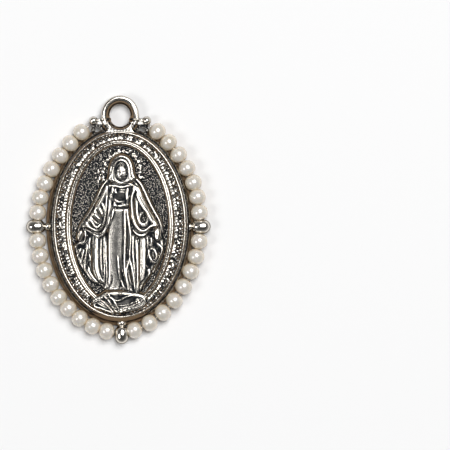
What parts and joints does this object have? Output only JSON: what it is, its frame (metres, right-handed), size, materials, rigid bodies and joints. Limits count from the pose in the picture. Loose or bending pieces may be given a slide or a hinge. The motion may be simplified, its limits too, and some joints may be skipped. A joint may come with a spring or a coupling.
{
  "type": "religious medal pendant",
  "caption": "Oval cast silver medal with raised devotional figures on both faces, framed by a string of pearls on small ball posts, with a hanging loop.",
  "frame": {"origin": "on the surface that the pendant lies on, under the middle of its box", "axes": "+Z out of the front face, +Y towards the hanging loop, +X to the right as the front is seen"},
  "size_m": [0.0334, 0.0448, 0.0031],
  "materials": {
    "antique_silver": "cast silver, polished on the high spots and oxidised dark grey in the recesses",
    "wire_silver": "bright drawn silver wire",
    "pearl_nacre": "glossy cream nacre with a soft pink and beige lustre"
  },
  "bodies": {
    "root": {"medal": "antique_silver", "pearl_wire": "wire_silver", "pearl_01": "pearl_nacre", "pearl_02": "pearl_nacre", "pearl_03": "pearl_nacre", "pearl_04": "pearl_nacre", "pearl_05": "pearl_nacre", "pearl_06": "pearl_nacre", "pearl_07": "pearl_nacre", "pearl_08": "pearl_nacre", "pearl_09": "pearl_nacre", "pearl_10": "pearl_nacre", "pearl_11": "pearl_nacre", "pearl_12": "pearl_nacre", "pearl_13": "pearl_nacre", "pearl_14": "pearl_nacre", "pearl_15": "pearl_nacre", "pearl_16": "pearl_nacre", "pearl_17": "pearl_nacre", "pearl_18": "pearl_nacre", "pearl_19": "pearl_nacre", "pearl_20": "pearl_nacre", "pearl_21": "pearl_nacre", "pearl_22": "pearl_nacre", "pearl_23": "pearl_nacre", "pearl_24": "pearl_nacre", "pearl_25": "pearl_nacre", "pearl_26": "pearl_nacre", "pearl_27": "pearl_nacre", "pearl_28": "pearl_nacre", "pearl_29": "pearl_nacre", "pearl_30": "pearl_nacre", "pearl_31": "pearl_nacre"}
  },
  "joints": []
}
